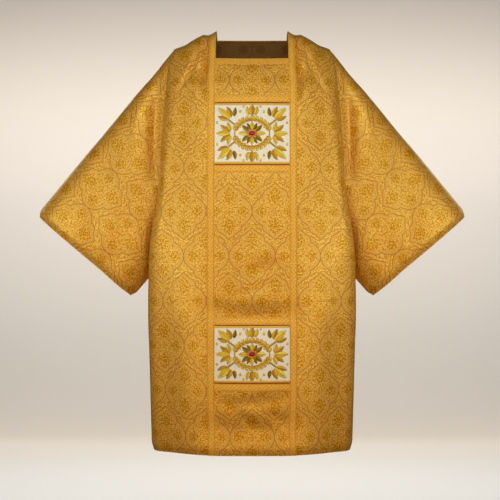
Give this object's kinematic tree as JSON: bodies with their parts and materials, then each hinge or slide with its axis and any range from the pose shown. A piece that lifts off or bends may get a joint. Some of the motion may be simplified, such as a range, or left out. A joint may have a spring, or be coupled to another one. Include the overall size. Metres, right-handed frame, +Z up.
{
  "type": "dalmatic",
  "caption": "Wide-sleeved, knee-length liturgical tunic in gold damask, held open as worn, with braid stripes and embroidered panels on the front.",
  "frame": {"origin": "midway between the shoulders, level with the tops of the shoulders at the neck, where the wearer carries the garment", "axes": "+X to the wearer's left, -Y out of the front, +Z up"},
  "size_m": [1.217, 0.356, 1.1764],
  "materials": {
    "damask": "gold damask with a woven lattice, matt ground and metallic figure",
    "galloon": "bright gold braid",
    "orphrey": "cream and silver cloth embroidered in gold",
    "stone": "polished red oval cabochon"
  },
  "bodies": {
    "root": {"front": "damask", "back": "damask", "sleeve_left": "damask", "sleeve_right": "damask", "clavus_left": "galloon", "clavus_right": "galloon", "neck_band_front": "galloon", "neck_band_back": "galloon", "galloon_upper_top": "galloon", "galloon_upper_bottom": "galloon", "galloon_lower_top": "galloon", "galloon_lower_bottom": "galloon", "orphrey_upper": "orphrey", "orphrey_lower": "orphrey", "stone_upper": "stone", "stone_lower": "stone"}
  },
  "joints": []
}
